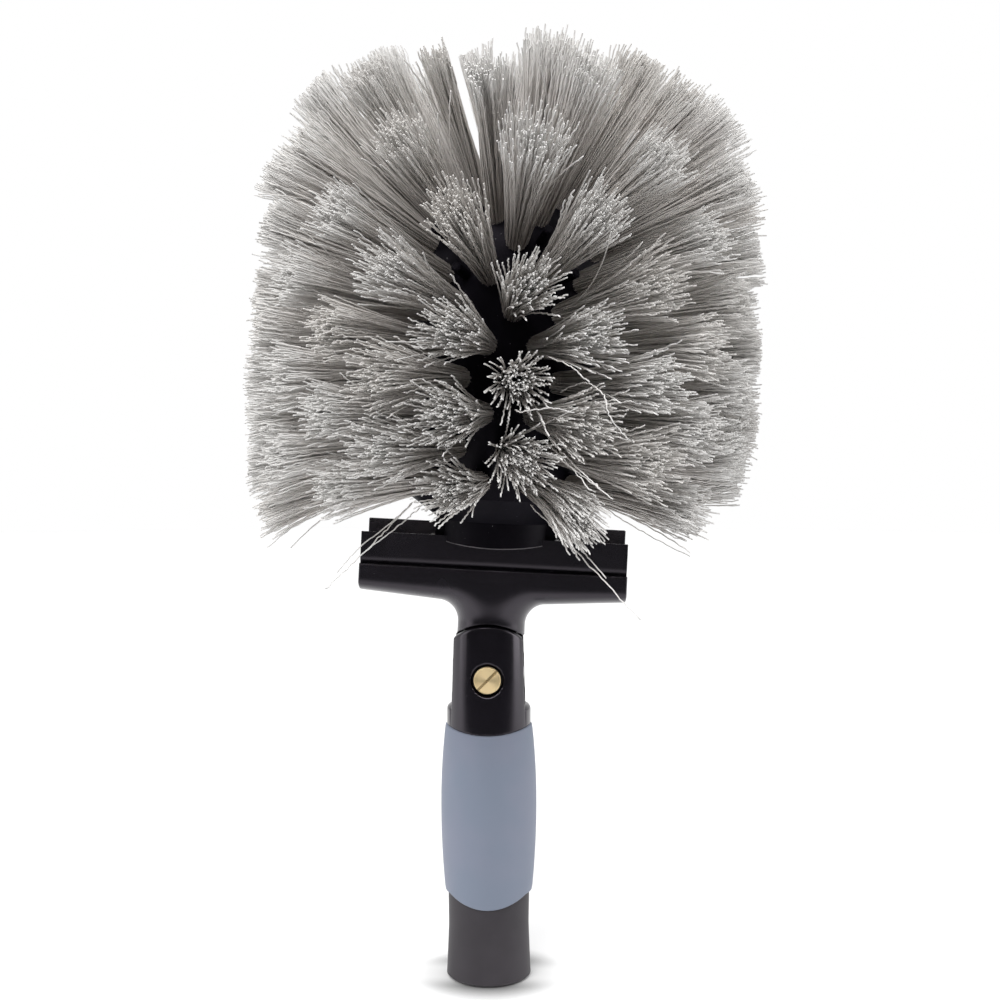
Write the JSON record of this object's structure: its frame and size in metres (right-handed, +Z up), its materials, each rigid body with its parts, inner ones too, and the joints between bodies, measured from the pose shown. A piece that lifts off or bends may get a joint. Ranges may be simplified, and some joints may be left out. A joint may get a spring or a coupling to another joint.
{
  "type": "cobweb brush",
  "caption": "Round cobweb brush of flared grey tufts on a black core, screwed to a T-shaped holder that swivels in a rubber-gripped handle with a socket for a pole.",
  "frame": {"origin": "centre of the pole socket's mouth, at the lower end of the handle", "axes": "+Z up the handle towards the brush, +Y away from the face with the brass screw, +X to the right of that face"},
  "size_m": [0.2044, 0.2001, 0.3592],
  "materials": {
    "tube_plastic": "dark grey moulded plastic, fine matte texture",
    "grip_rubber": "grey-blue soft rubber, matte",
    "black_plastic": "black moulded plastic, glossy",
    "core_plastic": "black moulded plastic, satin",
    "washer_plastic": "grey plastic washer, matte",
    "brass": "turned brass, fine lathe marks",
    "steel": "bright zinc-plated steel",
    "filament": "light grey crimped synthetic filament"
  },
  "bodies": {
    "handle": {"socket_tube": "tube_plastic", "grip_sleeve": "grip_rubber", "yoke": "black_plastic", "yoke_pin": "steel", "pivot_nut": "brass", "screw_washer": "steel"},
    "head": {"friction_washer_front": "washer_plastic", "friction_washer_rear": "washer_plastic", "head_holder": "black_plastic", "holder_screws": "steel", "brush_bar": "black_plastic", "core_foot": "core_plastic", "core_shell": "core_plastic", "core_screws": "steel", "bristle_row_1": "filament", "bristle_row_2": "filament", "bristle_row_3": "filament", "bristle_row_4": "filament", "bristle_row_5": "filament", "bristle_row_6": "filament", "bristle_row_7": "filament", "bristle_row_8": "filament", "bristle_row_9": "filament", "bristle_row_10": "filament", "bristle_row_11": "filament", "bristle_row_12": "filament"},
    "lock_screw": {"pivot_screw": "brass"}
  },
  "joints": [
    {"name": "head_swivel", "type": "hinge", "parent": "handle", "child": "head", "pos_m": [0, 0, 0.1147], "axis": [0, 1, 0], "range_deg": [-87.8, 82.2]},
    {"name": "lock_screw_turn", "type": "hinge", "parent": "handle", "child": "lock_screw", "pos_m": [0, 0, 0.1147], "axis": [0, -1, 0], "range_deg": [0, 450]}
  ]
}
